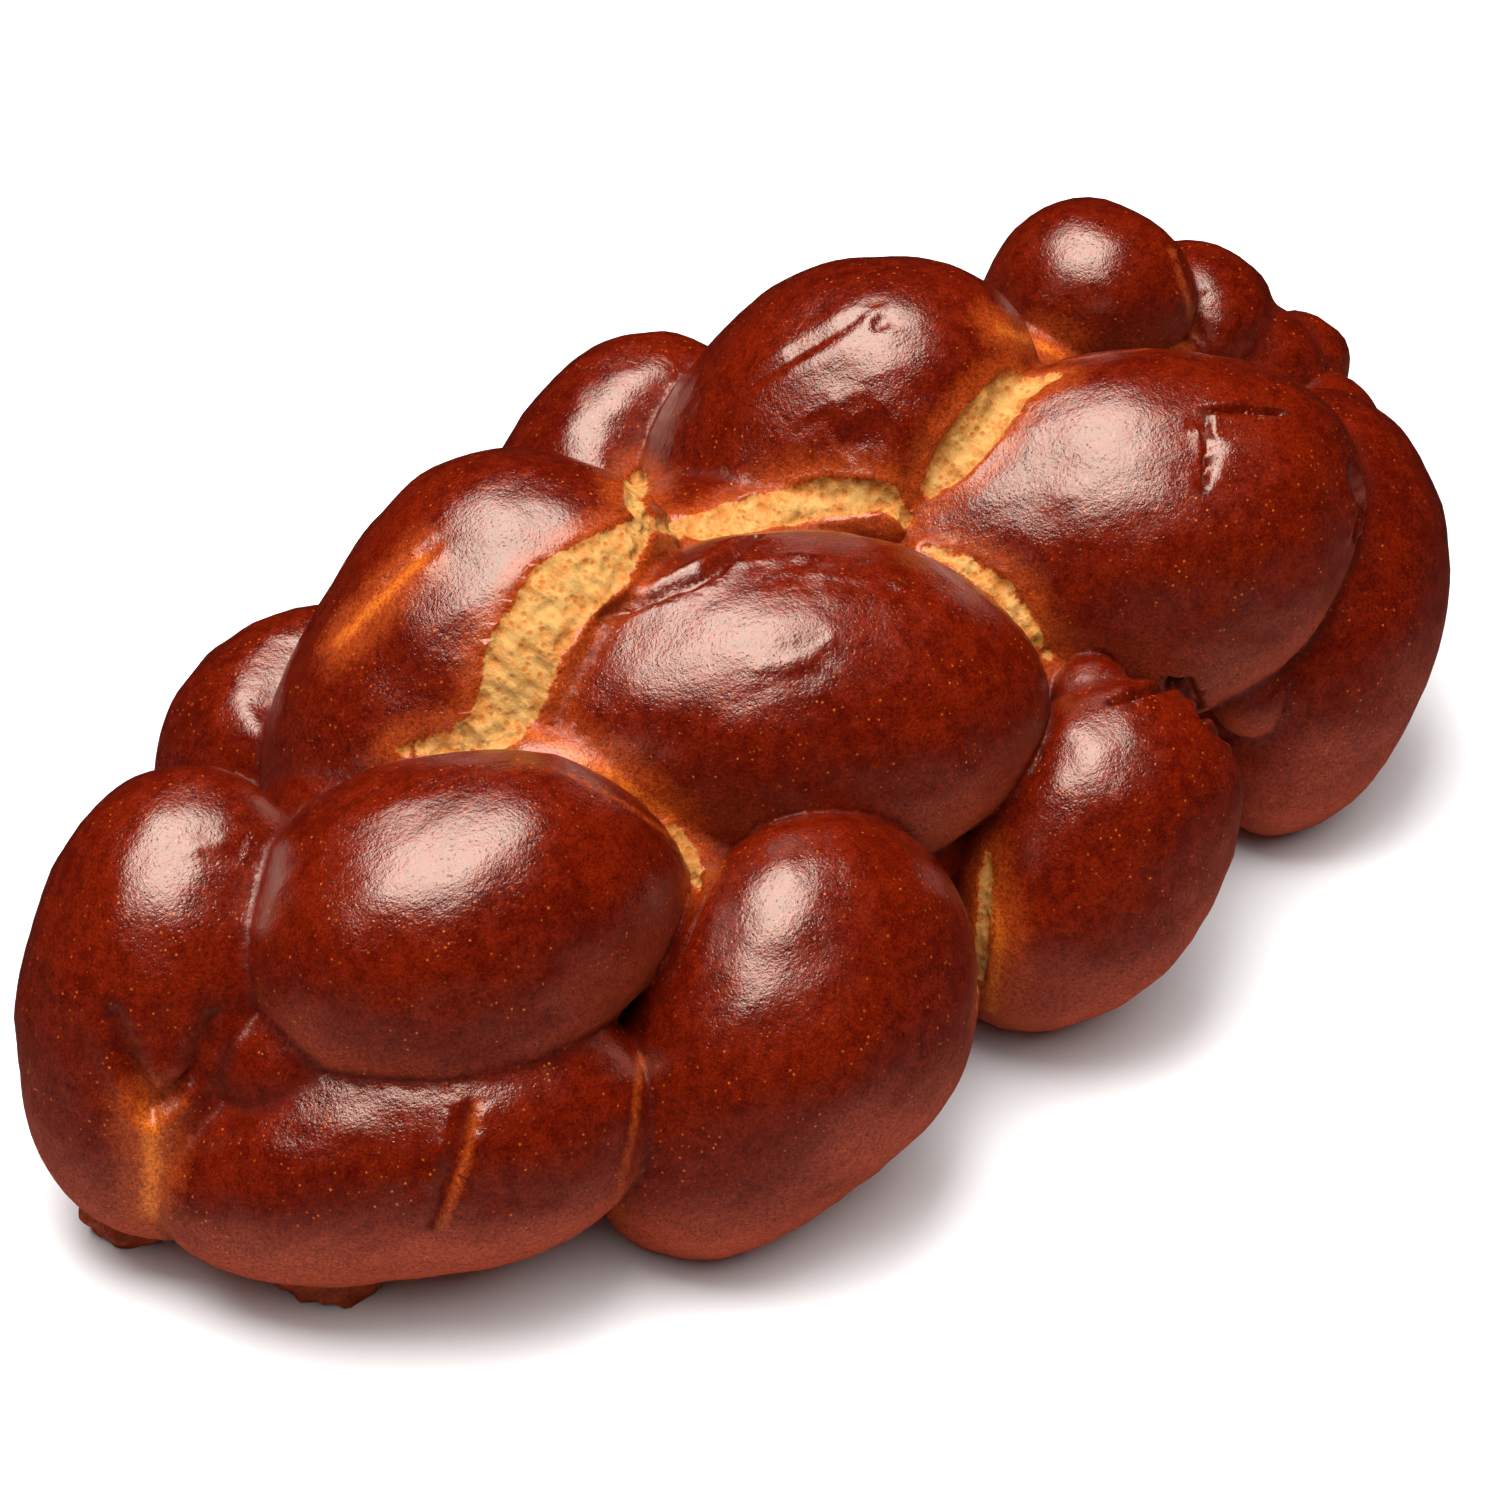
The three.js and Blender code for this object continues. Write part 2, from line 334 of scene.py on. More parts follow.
class Shader:
    """Builds one material's nodes."""

    def __init__(self, name):
        self.material = bpy.data.materials.new(name)
        self.material.use_nodes = True
        self.tree = self.material.node_tree
        self.tree.nodes.clear()

    def node(self, kind, settings, values=(), output=0):
        """Adds a node: settings first, then the values or links of its sockets, by place or by name."""
        made = self.tree.nodes.new(kind)
        for key, setting in settings.items():
            setattr(made, key, setting)
        named = values.items() if isinstance(values, dict) else enumerate(values)
        for key, value in named:
            socket = made.inputs[key]
            if isinstance(value, Maths):
                self.tree.links.new(value.socket, socket)
            elif hasattr(value, "__len__") and len(value) == 3 and socket.type == "RGBA":
                socket.default_value = (*value, 1.0)
            else:
                socket.default_value = value
        return Maths(self, made.outputs[output])

    def attribute(self, name, output="Fac"):
        return self.node(
            "ShaderNodeAttribute", {"attribute_type": "GEOMETRY", "attribute_name": name}, output=output
        )

    def stretched(self, vector, scale):
        return self.node("ShaderNodeVectorMath", {"operation": "MULTIPLY"}, (vector, scale))

    def noise(self, vector, scale, detail=2.0, roughness=0.5, distortion=0.0):
        return self.node(
            "ShaderNodeTexNoise",
            {"noise_dimensions": "3D"},
            {
                "Vector": vector,
                "Scale": scale,
                "Detail": detail,
                "Roughness": roughness,
                "Distortion": distortion,
            },
        )

    def cells(self, vector, scale):
        """Distance from the middle of the nearest cell."""
        return self.node(
            "ShaderNodeTexVoronoi",
            {"voronoi_dimensions": "3D", "feature": "F1"},
            {"Vector": vector, "Scale": scale},
            output="Distance",
        )

    def between(self, value, low, high):
        """0 below low, 1 above high, and a smooth step between them."""
        return self.node(
            "ShaderNodeMapRange",
            {"interpolation_type": "SMOOTHSTEP", "clamp": True},
            {"Value": value, "From Min": low, "From Max": high, "To Min": 0.0, "To Max": 1.0},
        )

    def mix(self, factor, first, second, blend="MIX"):
        """Two colours mixed. A Mix node keeps its colour sockets after those for numbers and vectors."""
        share, under, over, mixed = 0, 6, 7, 2
        return self.node(
            "ShaderNodeMix",
            {"data_type": "RGBA", "blend_type": blend},
            {share: factor, under: first, over: second},
            output=mixed,
        )

    def bump(self, height, distance):
        return self.node(
            "ShaderNodeBump", {}, {"Height": height, "Distance": distance, "Strength": 1.0}
        )

    def skin(self, colour, rough, normal, gloss):
        """Crust that mirrors light as strongly as gloss says, tinted by the glaze."""
        return self.node(
            "ShaderNodeBsdfPrincipled",
            {},
            {
                "Base Color": colour,
                "Roughness": rough,
                "Normal": normal,
                "Specular IOR Level": gloss,
                "Specular Tint": GLAZE_TINT,
            },
        )

    def surface(self, closure):
        output = self.tree.nodes.new("ShaderNodeOutputMaterial")
        self.tree.links.new(closure.socket, output.inputs["Surface"])
        return self.material


# Dough shapes


def waves(points, length, seed, count=28):
    """A smooth uneven field, mostly between -1 and 1, with swells about length apart."""
    draw = np.random.default_rng(seed)
    ways = draw.normal(size=(count, 3))
    ways /= np.linalg.norm(ways, axis=1, keepdims=True)
    ways *= 2 * math.pi / length * draw.uniform(0.7, 1.4, (count, 1))
    phase = draw.uniform(0, 2 * math.pi, count)
    return np.sin(points @ ways.T + phase).sum(1) / math.sqrt(count)


def middle_line(bulge):
    """Start, pull and end of the curve that runs through the bulge's start, crest and end."""
    start, crest, end = (np.array(p, float) for p in bulge[:3])
    return start, 2 * crest - (start + end) / 2, end


def on_bulge(bulge, ball):
    """Where points of a unit ball lie on a bulge, and their place along and round its strand."""
    start, pull, end = middle_line(bulge)
    t = np.clip((1 - ball[:, 2:3]) / 2, 0, 1)
    around = np.arctan2(-ball[:, 1], ball[:, 0])[:, None]
    line = (1 - t) ** 2 * start + 2 * t * (1 - t) * pull + t**2 * end
    along = 2 * (1 - t) * (pull - start) + 2 * t * (end - pull)
    along /= np.linalg.norm(along, axis=1, keepdims=True)
    arch = np.array(bulge.crest, float) - (start + end) / 2
    out = arch - along * (along @ arch)[:, None]
    out /= np.linalg.norm(out, axis=1, keepdims=True)
    side = np.cross(out, along)
    swell = (2 * t) ** bulge.blunt[0] * (2 - 2 * t) ** bulge.blunt[1]
    wide, thick = bulge.half
    places = line + swell * (side * wide * np.cos(around) + out * thick * np.sin(around))
    length = np.linalg.norm(pull - start) + np.linalg.norm(end - pull)
    strand = np.hstack([t * length, around * (wide + thick) / 2, np.zeros_like(t)])
    return places, strand


def line_distance(points, line, reach_out=12.0):
    """Distance from points to a line of straight runs, and how far along it they are (0 to 1)."""
    gaps = np.full(len(points), FAR)
    reaches = np.zeros(len(points))
    near = np.all((points > np.min(line, 0) - reach_out) & (points < np.max(line, 0) + reach_out), 1)
    close = points[near]
    best = np.full(len(close), FAR)
    reach = np.zeros(len(close))
    runs = len(line) - 1
    for run, (a, b) in enumerate(zip(line, line[1:])):
        way = b - a
        t = np.clip((close - a) @ way / (way @ way), 0, 1)
        gap = np.linalg.norm(close - a - t[:, None] * way, axis=1)
        nearer = gap < best
        best[nearer] = gap[nearer]
        reach[nearer] = (run + t[nearer]) / runs
    gaps[near] = best
    reaches[near] = reach
    return gaps, reaches


def groove_depth(points, kind, line):
    """How far a mark moves points outwards; negative is into the crust."""
    groove = GROOVES[kind]
    gap, reach = line_distance(points, line)
    wander = 1 + 0.15 * waves(points, 3.5, seed=71)
    fade = np.sqrt(np.clip(4 * reach * (1 - reach), 0, 1)) ** 0.7
    width = groove.width * (0.4 + 0.6 * fade) * wander
    cut = -groove.depth * np.exp(-((gap / width) ** 2))
    lip = groove.lip * np.exp(-(((gap - 2.2 * groove.width) / groove.width) ** 2))
    return fade * (cut + lip)


def ray_through(px, py):
    """Direction from the camera through a pixel of the photograph."""
    focal = SCALE * CAMERA_AWAY
    middle = PICTURE / 2
    return RIGHTWARD * (px - middle) / focal + UPWARD * (middle - py) / focal - BACKWARD


def points_of(mesh):
    flat = np.empty(len(mesh.vertices) * 3, np.float32)
    mesh.vertices.foreach_get("co", flat)
    return flat.reshape(-1, 3).astype(float)


def normals_of(mesh):
    flat = np.empty(len(mesh.vertices) * 3, np.float32)
    mesh.vertex_normals.foreach_get("vector", flat)
    return flat.reshape(-1, 3).astype(float)


def move_points(mesh, places):
    mesh.vertices.foreach_set("co", places.astype(np.float32).ravel())
    mesh.update()


def bulge_mesh(name, bulge, around, along):
    """One bulge, closed and plain, and where each of its points is on its strand."""
    ball = bmesh.new()
    bmesh.ops.create_uvsphere(ball, u_segments=around, v_segments=along, radius=1.0)
    mesh = bpy.data.meshes.new(name)
    ball.to_mesh(mesh)
    ball.free()
    places, strand = on_bulge(bulge, points_of(mesh))
    move_points(mesh, places)
    return mesh, strand


def soft_relief(places, strand, sizes):
    """The dough's own swells, soft lumps and stretch marks along its strand."""
    swells = waves(places, 80, seed=3) + 0.4 * waves(places, 40, seed=4)
    swells += 0.12 * waves(places, 20, seed=9)
    lift = sizes.uneven * swells
    lift += sizes.lumps * (waves(places, 10, seed=5) + 0.4 * waves(places, 5, seed=6))
    stretched = strand * (1 / 9.0, 1 / 3.2, 1.0)
    return lift + 0.06 * waves(stretched, 1.0, seed=8)


class Braid:
    """The dough bulges, what they came from, and the lines that fall on them."""

    def __init__(self, sizes):
        self.sizes = sizes
        self.points = []
        self.strands = []
        self.marks = []
        self.torn = []
        self.thin = []

    def find_lines(self, shape):
        """Lets the marks and tears fall on the crust where their pixels show it."""
        crust = BVHTree.FromBMesh(shape)
        self.marks = [(kind, self.fallen(crust, line)) for kind, line in MARKS]
        self.torn = [(half, self.fallen(crust, line)) for half, line in TORN]
        self.thin = [(half, self.fallen(crust, line)) for half, line in THIN]
        self.thin += [(f.half[0], [np.array(p, float) for p in f[:3]]) for f in FLAPS.values()]

    def fallen(self, crust, line):
        """Where a line of pixels falls on the crust, seen from the camera, at close steps."""
        step = 7.0
        least_gap = 0.1
        places = []
        for a, b in zip(np.array(line, float), np.array(line[1:], float)):
            parts = max(1, round(np.linalg.norm(b - a) / step))
            for part in range(parts + 1):
                pixel = a + (b - a) * part / parts
                place, *_ = crust.ray_cast(Vector(EYE), Vector(ray_through(*pixel)))
                if place is None:
                    raise RuntimeError(f"no crust shows at pixel {pixel}")
                if not places or np.linalg.norm(places[-1] - np.array(place)) > least_gap:
                    places.append(np.array(place))
        return places

    def bulge_piece(self, name, bulge, step, ragged=0.0):
        """One bulge as a closed piece with its own soft relief, and ragged if it is a flap."""
        start, pull, end = middle_line(bulge)
        length = np.linalg.norm(pull - start) + np.linalg.norm(end - pull)
        around = max(12, round(2 * math.pi * max(bulge.half) / step))
        along = max(8, round((length + max(bulge.half)) / step))
        mesh, strand = bulge_mesh(name, bulge, around, along)
        places = points_of(mesh)
        lift = soft_relief(places, strand, self.sizes) + ragged * waves(places, 4.0, seed=31)
        places += normals_of(mesh) * lift[:, None]
        move_points(mesh, places)
        self.points.append(places)
        self.strands.append(strand)
        return bpy.data.objects.new(name, mesh)

    def joined(self):
        """All bulges grown together into one closed mesh."""
        gathered = bpy.data.collections.new("Dough")
        bpy.context.scene.collection.children.link(gathered)
        crust, crumb = self.sizes.crust_step, self.sizes.crumb_step
        pieces = [self.bulge_piece(n, b, crust) for n, b in (*HEARTS.items(), *BULGES.items())]
        pieces += [self.bulge_piece(n, b, crumb) for n, b in TEARS.items()]
        pieces += [self.bulge_piece(n, b, crumb, ragged=0.6) for n, b in FLAPS.items()]
        base = pieces[0]
        bpy.context.scene.collection.objects.link(base)
        for piece in pieces[1:]:
            gathered.objects.link(piece)
        join = base.modifiers.new("Grow together", "BOOLEAN")
        join.operation = "UNION"
        join.operand_type = "COLLECTION"
        join.collection = gathered
        join.solver = "MANIFOLD"
        bpy.context.view_layer.update()
        evaluated = base.evaluated_get(bpy.context.evaluated_depsgraph_get())
        mesh = bpy.data.meshes.new_from_object(evaluated)
        for piece in pieces:
            old = piece.data
            bpy.data.objects.remove(piece)
            bpy.data.meshes.remove(old)
        bpy.data.collections.remove(gathered)
        return mesh

    def torn_depth(self, places):
        """How far points lie inside the torn crumb, in millimetres; outside it is negative."""
        depth = np.full(len(places), -FAR)
        for half, line in self.torn:
            gap, reach = line_distance(places, line)
            taper = np.clip(4.4 * reach * (1 - reach), 0.15, 1) ** 0.5
            depth = np.maximum(depth, half * taper - gap)
        return depth

    def thin_depth(self, places, torn):
        """How far points lie inside thin orange crust, which also borders each tear."""
        depth = torn.copy()
        narrow = 1.0
        for half, line in self.thin:
            gap, _ = line_distance(places, line)
            steep = 4.0 if half < narrow else 1.0
            depth = np.maximum(depth, 0.5 * half - steep * gap)
        return depth

    def grain(self, places):
        """Coordinates along, across and into the nearest tear, which its fibres follow."""
        nearest_gap = np.full(len(places), np.inf)
        grain = np.zeros((len(places), 3))
        for _, line in self.torn:
            gap, _ = line_distance(places, line)
            run = line[-1] - line[0]
            run /= np.linalg.norm(run)
            across = np.cross(run, BACKWARD)
            across /= np.linalg.norm(across)
            into = np.cross(run, across)
            near = gap < nearest_gap
            nearest_gap[near] = gap[near]
            grain[near] = (places[near] - line[0]) @ np.array([run, across, into]).T
        return grain

    def crack_shade_depth(self, places):
        """How much painted shade darkens points in a crack or fold, from 0 to 1."""
        cut = np.zeros(len(places))
        for kind, line in self.marks:
            groove = GROOVES[kind]
            gap, _ = line_distance(places, line)
            cut = np.maximum(cut, groove.shade * np.exp(-((gap / groove.width) ** 2)))
        return cut

    def near_lines(self, places):
        """Points beside a mark or in a tear, where the mesh has to be finer."""
        near = self.torn_depth(places) > -1.2
        for kind, line in self.marks:
            gap, _ = line_distance(places, line)
            near |= gap < 2.5 * GROOVES[kind].width + 0.8
        return near

    def fine_relief(self, places):
        """How far the marks and the torn crumb move each point outwards."""
        lift = np.zeros(len(places))
        for kind, line in self.marks:
            lift += groove_depth(places, kind, line)
        torn = self.torn_depth(places)
        inside = np.clip((torn + 0.4) / 1.2, 0, 1)
        grain = self.grain(places)
        fibres = 0.6 * waves(grain * (1 / 1.7, 1 / 6.0, 1 / 3.0), 1.0, seed=11)
        fibres += 0.7 * waves(places, 2.4, seed=14)
        clumps = waves(grain * (1 / 4.5, 1 / 7.0, 1 / 5.0), 1.0, seed=12)
        lift += inside * (self.sizes.fibres * (fibres + clumps) - 0.6)
        lip = np.exp(-(((torn + 0.7) / 0.8) ** 2))
        return lift + 0.3 * lip * (torn > -3)


def only_triangles(shape):
    """Splits the union's faces into sound triangles."""
    between = [v for v in shape.verts if len(v.link_edges) == 2]
    bmesh.ops.dissolve_verts(shape, verts=between)
    bmesh.ops.triangulate(
        shape, faces=shape.faces, quad_method="SHORT_EDGE", ngon_method="EAR_CLIP"
    )
    crowded = [e for e in shape.edges if len(e.link_faces) > 2]
    bmesh.ops.collapse(shape, edges=crowded, uvs=False)
    stray = [f for f in shape.faces if all(e.is_boundary for e in f.edges)]
    bmesh.ops.delete(shape, geom=stray, context="FACES")


def flatten_base(shape):
    """Cuts the joined dough flat at the tray's height and closes the cut."""
    everything = [*shape.verts, *shape.edges, *shape.faces]
    bmesh.ops.bisect_plane(
        shape, geom=everything, plane_co=(0, 0, 0), plane_no=(0, 0, 1), clear_inner=True
    )
    rim = [e for e in shape.edges if e.is_boundary]
    bmesh.ops.triangle_fill(shape, edges=rim, use_beauty=True)


def keep_outer_shell(shape):
    """Drops what the union leaves shut inside: every island but the largest."""
    shape.verts.ensure_lookup_table()
    shape.verts.index_update()
    island = [-1] * len(shape.verts)
    sizes = []
    for first in shape.verts:
        if island[first.index] >= 0:
            continue
        island[first.index] = len(sizes)
        reached = [first]
        for vertex in reached:
            for edge in vertex.link_edges:
                other = edge.other_vert(vertex)
                if island[other.index] < 0:
                    island[other.index] = len(sizes)
                    reached.append(other)
        sizes.append(len(reached))
    largest = sizes.index(max(sizes))
    loose = [v for v in shape.verts if island[v.index] != largest]
    bmesh.ops.delete(shape, geom=loose, context="VERTS")


def nearest(sources, targets):
    """For each target, the index of the nearest source and its distance."""
    tree = KDTree(len(sources))
    for index, place in enumerate(sources):
        tree.insert(place, index)
    tree.balance()
    found = [tree.find(place)[1:] for place in targets]
    return np.array([f[0] for f in found]), np.array([f[1] for f in found])


def seam_points(places, braid):
    """The points that the union made where bulges meet, above the tray."""
    new_point = 0.06
    above_tray = 0.5
    _, gap = nearest(np.vstack(braid.points), places)
    return places[(gap > new_point) & (places[:, 2] > above_tray)]


def soften_seams(shape, seam_gap, reach):
    """Lets the dough flow together a little along the seams."""
    rounds = 6
    for turn in range(rounds):
        close = reach * (1 - turn / rounds)
        soft = [v for v, gap in zip(shape.verts, seam_gap) if gap < close and v.co.z > ON_TRAY]
        bmesh.ops.smooth_vert(
            shape, verts=soft, factor=0.5, use_axis_x=True, use_axis_y=True, use_axis_z=True
        )


def vertex_points(shape):
    return np.array([v.co for v in shape.verts])


def refine_lines(shape, braid):
    """Smaller faces beside marks and in tears, so that their relief keeps its shape."""
    for longest in (1.5, 0.95):
        near = braid.near_lines(vertex_points(shape))
        shape.verts.index_update()
        edges = [
            e
            for e in shape.edges
            if near[e.verts[0].index] and near[e.verts[1].index] and e.calc_length() > longest
        ]
        bmesh.ops.subdivide_edges(shape, edges=edges, cuts=1, use_grid_fill=True)
        bmesh.ops.triangulate(shape, faces=[f for f in shape.faces if len(f.verts) > 3])


def raise_relief(shape, braid):
    """Moves the points beside marks and in tears along their normals."""
    shape.normal_update()
    places = vertex_points(shape)
    lift = braid.fine_relief(places)
    for vertex, rise in zip(shape.verts, lift):
        if vertex.co.z > ON_TRAY:
            vertex.co += vertex.normal * rise


def add_attribute(mesh, name, kind, values):
    made = mesh.attributes.new(name, kind, "POINT")
    field = "vector" if kind == "FLOAT_VECTOR" else "value"
    made.data.foreach_set(field, np.ascontiguousarray(values, np.float32).ravel())


def mark_surface(mesh, braid, seams):
    """Gives each point its nearness to tears and seams, its strand and how far it faces up."""
    places = points_of(mesh)
    index, _ = nearest(np.vstack(braid.points), places)
    _, seam_gap = nearest(seams, places)
    torn = braid.torn_depth(places)
    add_attribute(mesh, "torn", "FLOAT", torn)
    add_attribute(mesh, "thin", "FLOAT", braid.thin_depth(places, torn))
    # cut holds the painted shade inside cracks and folds
    add_attribute(mesh, "cut", "FLOAT", braid.crack_shade_depth(places))
    add_attribute(mesh, "seam_gap", "FLOAT", seam_gap)
    add_attribute(mesh, "up", "FLOAT", normals_of(mesh)[:, 2])
    add_attribute(mesh, "strand", "FLOAT_VECTOR", np.vstack(braid.strands)[index] * MM)
    add_attribute(mesh, "grain", "FLOAT_VECTOR", braid.grain(places) * MM)


# Finish


def crust_material(colours):
    """Glazed crust, mottled and speckled, with torn crumb where the torn attribute says."""
    shader = Shader("Baked crust and crumb")
    place = shader.node("ShaderNodeTexCoord", {}, output="Object")
    strand = shader.attribute("strand", output="Vector")
    grain = shader.attribute("grain", output="Vector")
    torn_depth = shader.attribute("torn")
    thin_depth = shader.attribute("thin")
    # cut: how much painted shade darkens a crack or fold
    cut = shader.attribute("cut")
    seam_gap = shader.attribute("seam_gap")
    up = shader.attribute("up")

    patches = shader.noise(place, 42, detail=3, roughness=0.6)
    mottle = shader.noise(place, 340, detail=4, roughness=0.7)
    fine = shader.noise(place, 1500, detail=3, roughness=0.65)
    grit = shader.noise(place, 3300, detail=1)
    ragged = (mottle - 0.5) * 4.0 + (patches - 0.5) * 5.0 + (fine - 0.5) * 1.6

    # colour of the crust
    bake = shader.between(patches * 0.35 + mottle * 0.65, 0.36, 0.62)
    colour = shader.mix(bake, tuple(colours.crust_dark_and_crease_shade), tuple(colours.crust))
    # Partly the paler crust low on the sides and partly painted light: faces that turn down are lightened
    # for the white floor's bounce and reflection
    side = 1 - shader.between(up + (patches - 0.5) * 0.8, -0.5, 0.36)
    colour = shader.mix(side, colour, tuple(colours.crust_side_and_floor_light))
    # painted shade: the crust darkens towards the dark crust along the seams between bulges, where shade
    # falls in the creases
    seam_shade = 1 - shader.between(seam_gap + ragged * 0.4, 0.0, 2.4)
    colour = shader.mix(seam_shade * 0.65, colour, tuple(colours.crust_dark_and_crease_shade))
    thin = shader.between(thin_depth + ragged, -7.0, 0.4)
    colour = shader.mix(thin * 0.8, colour, tuple(colours.crust_thin))
    core = shader.between(thin_depth + ragged * 0.6, -0.8, 2.2)
    colour = shader.mix(core * 0.8, colour, tuple(colours.crust_core))
    spared = shader.between(shader.noise(place, 120, detail=2), 0.38, 0.66)
    pale_dots = (1 - shader.between(shader.cells(place, 600), 0.05, 0.19)) * spared
    colour = shader.mix(pale_dots * 0.65, colour, tuple(colours.crust_core))
    pores = 1 - shader.between(shader.cells(place, 1000), 0.10, 0.28)
    colour = shader.mix(pores * 0.5, colour, tuple(colours.crust_dark_and_crease_shade))
    shade = shader.between(fine * 0.55 + grit * 0.45, 0.36, 0.64)
    grain_dark, grain_pale = (0.58, 0.5, 0.45), (1.42, 1.55, 1.6)
    grained = shader.mix(shade, grain_dark, grain_pale)
    colour = shader.mix(0.8, colour, grained, "MULTIPLY")
    # painted shade: cracks and folds are darkened nearly to black where shade falls inside them
    crack_shade_colour = (0.012, 0.0012, 0.0005)
    colour = shader.mix(cut * 0.85, colour, crack_shade_colour)

    # fine relief of the crust: soft pebbles, wrinkles along the strand, pores
    wrinkles = shader.noise(shader.stretched(strand, (0.35, 1.0, 1.0)), 620, detail=3, distortion=0.6)
    pebbles = shader.noise(place, 620, detail=3, roughness=0.6)
    crust_height = wrinkles * 0.2 + pebbles * 0.45 + fine * 0.45 + grit * 0.12 - pores * 0.14
    crust_normal = shader.bump(crust_height, 0.22 * MM)
    glazed_mirror, matte_mirror, matte_rough = 0.95, 0.22, 0.55
    uneven_rough = (mottle - 0.5) * 0.2
    glazed = shader.skin(colour, colours.gloss + uneven_rough, crust_normal, glazed_mirror)
    matte = shader.skin(colour, matte_rough + uneven_rough, crust_normal, matte_mirror)
    glaze = shader.between(up + (patches - 0.5) * 0.4, 0.05, 0.55)
    glaze = glaze * (1 - thin * 0.4) * (1 - seam_shade) * (1 - cut)
    crust = shader.node("ShaderNodeMixShader", {}, (glaze, matte, glazed))

    # torn crumb: pale sponge with short fibres, orange where it sinks, partly its own colour and partly
    # painted shade in its pits
    fibre = shader.noise(
        shader.stretched(grain, (1.0, 0.35, 0.6)), 800, detail=4, roughness=0.65, distortion=1.2
    )
    clumps = shader.noise(place, 330, detail=4, roughness=0.65)
    pits = 1 - shader.between(shader.cells(place, 620), 0.12, 0.42)
    # painted shade: the pits lean towards the darker orange, where shade falls in the crumb's hollows
    pale = shader.between(fibre * 0.4 + clumps * 0.6 - pits * 0.2 + torn_depth * 0.022, 0.38, 0.66)
    crumb_colour = shader.mix(pale, tuple(colours.crumb_orange_and_pit_shade), tuple(colours.crumb))
    crumb_height = fibre * 0.5 + clumps * 0.7 + fine * 0.35 + grit * 0.15 - pits * 0.3
    crumb_normal = shader.bump(crumb_height, 0.38 * MM)
    crumb_shade = shader.node(
        "ShaderNodeBsdfPrincipled",
        {},
        {
            "Base Color": crumb_colour,
            "Roughness": 0.75,
            "Normal": crumb_normal,
            "Specular IOR Level": 0.3,
            "Subsurface Weight": 0.25,
            "Subsurface Radius": (1.0, 0.45, 0.15),
            "Subsurface Scale": 1 * MM,
        },
    )
    torn = shader.between(torn_depth + ragged * 0.55, -0.2, 0.25)
    both = shader.node("ShaderNodeMixShader", {}, (torn, crust, crumb_shade))
    return shader.surface(both)


def plain_material(name, colour, roughness):
    shader = Shader(name)
    place = shader.node("ShaderNodeTexCoord", {}, output="Object")
    faint = shader.noise(place, 3.0, detail=2)
    shade = shader.mix(faint, colour, tuple(c * 0.985 for c in colour))
    paint = shader.node(
        "ShaderNodeBsdfPrincipled",
        {},
        {"Base Color": shade, "Roughness": roughness, "Specular IOR Level": 0.2},
    )
    return shader.surface(paint)


# Operators


class LOAF_OT_bake(bpy.types.Operator):
    """Shapes the braid, grows it together and gives it its crust and crumb."""

    bl_idname = "loaf.bake"
    bl_label = "Bake the Loaf"

    def execute(self, context):
        scene = context.scene
        braid = Braid(scene.loaf_sizes)
        mesh = braid.joined()
        shape = bmesh.new()
        shape.from_mesh(mesh)
        keep_outer_shell(shape)
        flatten_base(shape)
        only_triangles(shape)
        seams = seam_points(vertex_points(shape), braid)
        _, seam_gap = nearest(seams, vertex_points(shape))
        soften_seams(shape, seam_gap, scene.loaf_sizes.seam_reach)
        braid.find_lines(shape)
        refine_lines(shape, braid)
        raise_relief(shape, braid)
        bmesh.ops.recalc_face_normals(shape, faces=shape.faces)
        for face in shape.faces:
            face.smooth = True
        open_edges = sum(not e.is_manifold for e in shape.edges)
        shape.to_mesh(mesh)
        shape.free()
        mark_surface(mesh, braid, seams)
        mesh.set_sharp_from_angle(angle=math.radians(52))
        mesh.transform(Matrix.Scale(MM, 4))
        loaf = bpy.data.objects.new("Loaf", mesh)
        scene.collection.objects.link(loaf)
        mesh.materials.clear()
        mesh.materials.append(crust_material(scene.loaf_colours))
        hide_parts("loaf")
        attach(loaf, "root")
        triangles = sum(len(p.vertices) - 2 for p in mesh.polygons)
        print("loaf:", len(mesh.vertices), "points,", triangles, "triangles,", open_edges, "open edges")
        return {"FINISHED"}


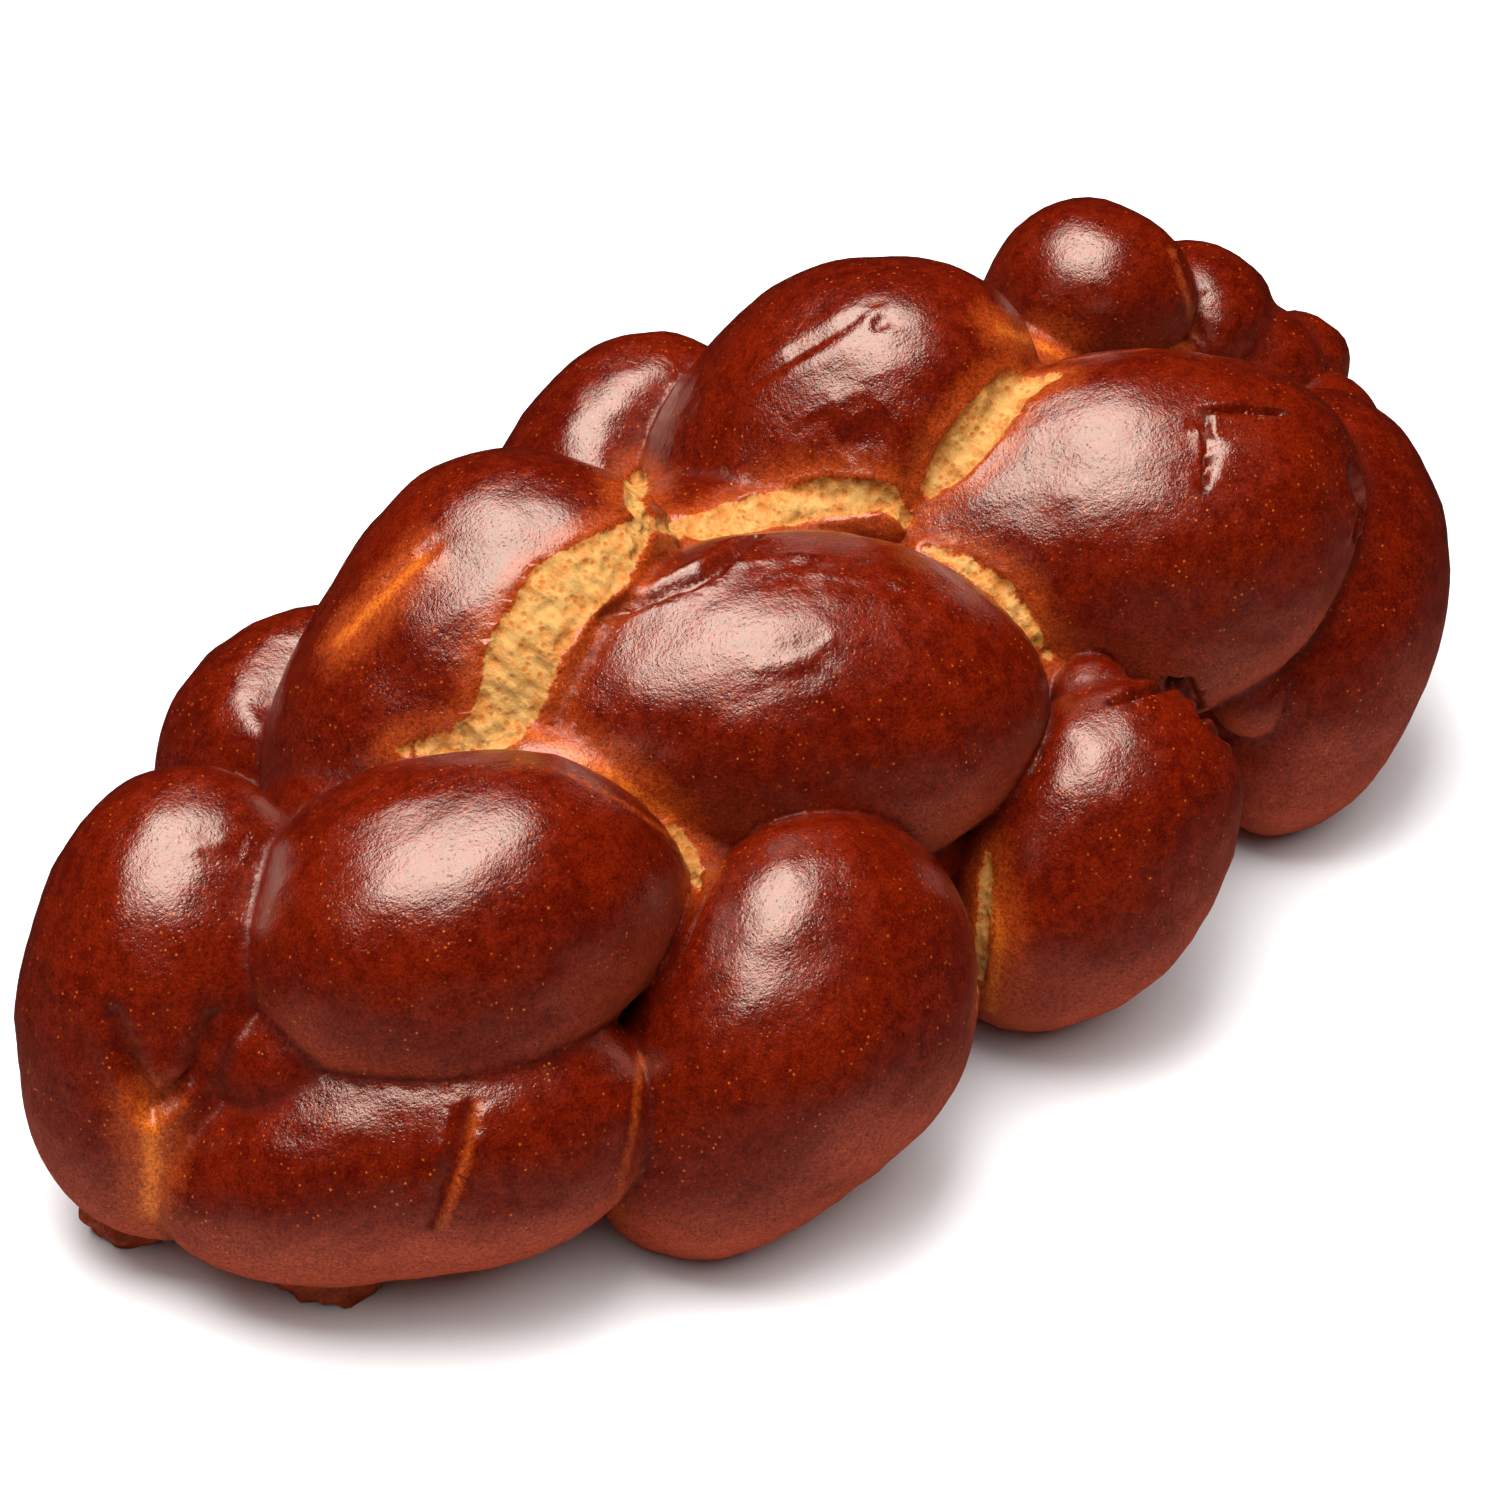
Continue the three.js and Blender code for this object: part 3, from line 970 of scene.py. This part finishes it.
class LOAF_OT_studio(bpy.types.Operator):
    """Lays the pale floor, hangs the lights and sets the camera."""

    bl_idname = "loaf.studio"
    bl_label = "Set the Studio"

    def execute(self, context):
        scene = context.scene
        settings = scene.loaf_studio
        self.lay_floor(scene)
        self.hang_lights(scene, settings)
        self.set_camera(scene)
        scene.view_settings.view_transform = "Standard"
        return {"FINISHED"}

    def lay_floor(self, scene):
        across = 8.0
        pale = (0.8, 0.8, 0.8)
        sheet = bmesh.new()
        bmesh.ops.create_grid(sheet, x_segments=8, y_segments=8, size=across / 2)
        mesh = bpy.data.meshes.new("Floor")
        sheet.to_mesh(mesh)
        sheet.free()
        floor = bpy.data.objects.new("Floor", mesh)
        scene.collection.objects.link(floor)
        mesh.materials.append(plain_material("White floor", pale, 0.6))
        floor.visible_glossy = False

    def hang_lights(self, scene, settings):
        overhead, high_in_front, wide = (-0.12, 0.16, 1.05), (-0.08, -0.58, 2.08), 3.0
        width = settings.softbox_width
        self.add_light(scene, "Softbox", overhead, width, settings.softbox_power)
        fill = self.add_light(scene, "Fill", high_in_front, wide, settings.fill_power)
        fill.visible_glossy = False
        world = bpy.data.worlds.new("White surround")
        world.use_nodes = True
        background = world.node_tree.nodes["Background"]
        background.inputs["Color"].default_value = (1.0, 1.0, 1.0, 1.0)
        background.inputs["Strength"].default_value = settings.sky
        scene.world = world

    def add_light(self, scene, name, place, width, power):
        light = bpy.data.lights.new(name, "AREA")
        light.shape = "RECTANGLE"
        light.size = width
        light.size_y = width * 0.8
        light.energy = power
        lamp = bpy.data.objects.new(name, light)
        lamp.location = place
        aim = Vector(TARGET * MM) - lamp.location
        lamp.rotation_euler = aim.to_track_quat("-Z", "Y").to_euler()
        scene.collection.objects.link(lamp)
        return lamp

    def set_camera(self, scene):
        lens = bpy.data.cameras.new("Camera")
        lens.sensor_width = SENSOR
        lens.lens = SCALE * CAMERA_AWAY / PICTURE * SENSOR
        lens.clip_end = 20.0
        camera = bpy.data.objects.new("Camera", lens)
        camera.location = Vector(EYE * MM)
        camera.rotation_euler = Vector(-BACKWARD).to_track_quat("-Z", "Y").to_euler()
        scene.collection.objects.link(camera)
        scene.camera = camera


class LOAF_PT_panel(bpy.types.Panel):
    """Lists the steps and their settings."""

    bl_idname = "LOAF_PT_panel"
    bl_label = "Braided Loaf"
    bl_space_type = "VIEW_3D"
    bl_region_type = "UI"
    bl_category = "Loaf"

    def draw(self, context):
        layout = self.layout
        scene = context.scene
        for group in (scene.loaf_sizes, scene.loaf_colours, scene.loaf_studio):
            box = layout.box()
            for name in group.__annotations__:
                box.prop(group, name)
        for step in STEPS:
            layout.operator(step.bl_idname)


STEPS = (LOAF_OT_studio, LOAF_OT_bake)
GROUPS = {"loaf_sizes": LoafSizes, "loaf_colours": LoafColours, "loaf_studio": StudioSettings}


def register():
    for name, group in GROUPS.items():
        bpy.utils.register_class(group)
        setattr(bpy.types.Scene, name, bpy.props.PointerProperty(type=group))
    for made in (*STEPS, LOAF_PT_panel):
        bpy.utils.register_class(made)


def unregister():
    for made in (*STEPS, LOAF_PT_panel):
        bpy.utils.unregister_class(made)
    for name, group in GROUPS.items():
        delattr(bpy.types.Scene, name)
        bpy.utils.unregister_class(group)


def main():
    register()
    for step in STEPS:
        group, name = step.bl_idname.split(".")
        getattr(getattr(bpy.ops, group), name)()


if __name__ == "__main__":
    main()
